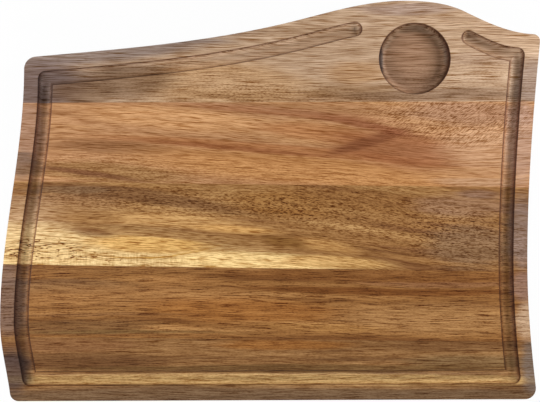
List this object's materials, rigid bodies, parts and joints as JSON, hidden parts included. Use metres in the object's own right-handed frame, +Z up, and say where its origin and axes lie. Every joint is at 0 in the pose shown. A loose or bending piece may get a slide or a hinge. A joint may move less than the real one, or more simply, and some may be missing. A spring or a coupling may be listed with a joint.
{
  "type": "wooden serving platter",
  "caption": "Wooden serving platter glued up from staves, with a wavy outline, eased edges, a juice groove that follows the rim and a round well for sauce.",
  "frame": {"origin": "middle of the underside, on the surface that the board lies on", "axes": "+X along the length towards the end that is nearer the well, +Y across the board towards the humped edge, +Z up out of the serving face"},
  "size_m": [0.404, 0.2994, 0.018],
  "materials": {
    "rear_wood": "oiled satin, golden to taupe brown",
    "upper_wood": "oiled satin, orange tan with a red-brown figure",
    "middle_wood": "oiled satin, golden with pale sapwood",
    "lower_wood": "oiled satin, warm brown with dark lines",
    "front_wood": "oiled satin, reddish brown"
  },
  "bodies": {
    "root": {"rear_stave": "rear_wood", "upper_stave": "upper_wood", "middle_stave": "middle_wood", "lower_stave": "lower_wood", "front_stave": "front_wood"}
  },
  "joints": []
}
